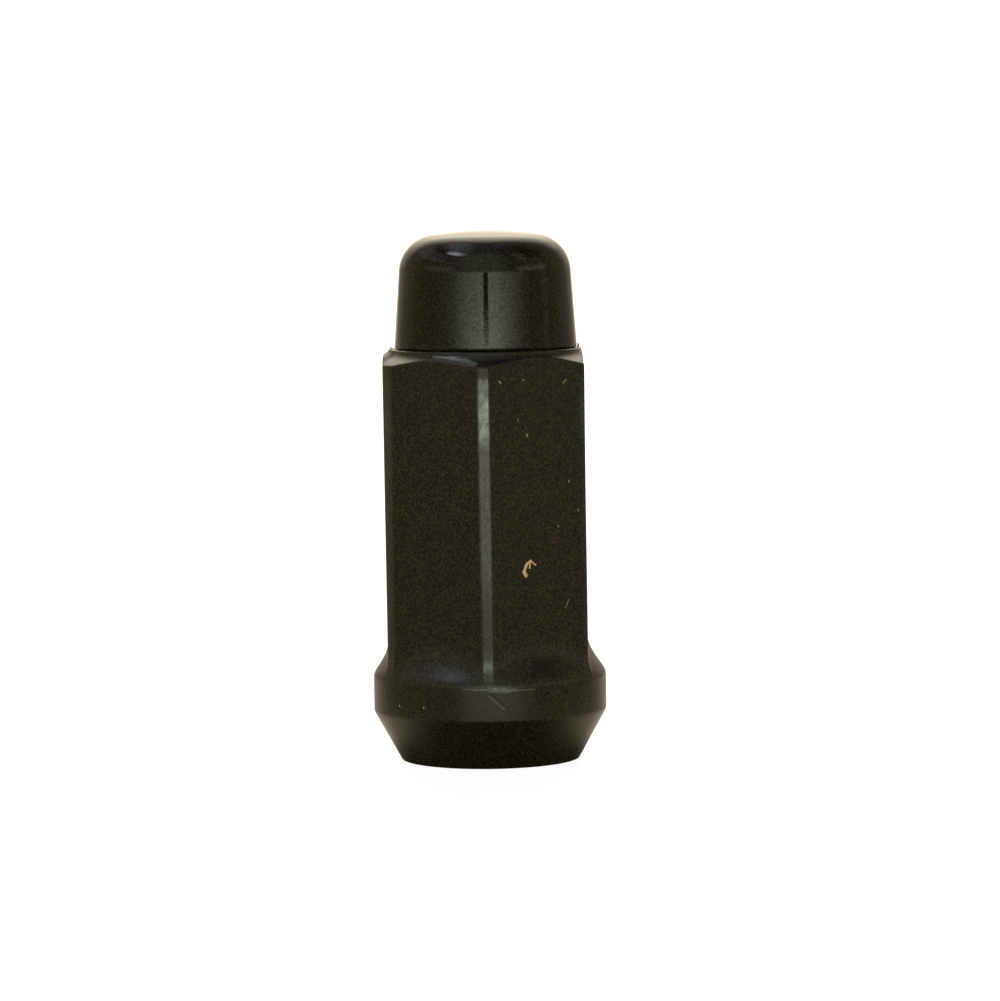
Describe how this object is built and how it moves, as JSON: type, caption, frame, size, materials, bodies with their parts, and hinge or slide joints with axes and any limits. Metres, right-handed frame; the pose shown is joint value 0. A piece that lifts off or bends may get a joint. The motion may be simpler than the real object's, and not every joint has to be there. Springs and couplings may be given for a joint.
{
  "type": "lug nut",
  "caption": "Extra-long closed-end wheel nut, black coated, with a long hexagon, a raised collar, a conical seat and a domed cap over a threaded hole.",
  "frame": {"origin": "on the thread axis, in the plane of the seat-end face that the nut stands on", "axes": "+Z along the thread axis from the seat end to the cap; hexagon corners on +Y and -Y, flats facing +X and -X"},
  "size_m": [0.0222, 0.0222, 0.0506],
  "materials": {
    "coated_body": "satin black electro-coat over forged steel, fine grain, rubbed along the edges, chipped in places",
    "coated_cap": "smooth semi-gloss black electro-coat over drawn steel"
  },
  "bodies": {
    "root": {"nut_body": "coated_body", "end_cap": "coated_cap"}
  },
  "joints": []
}
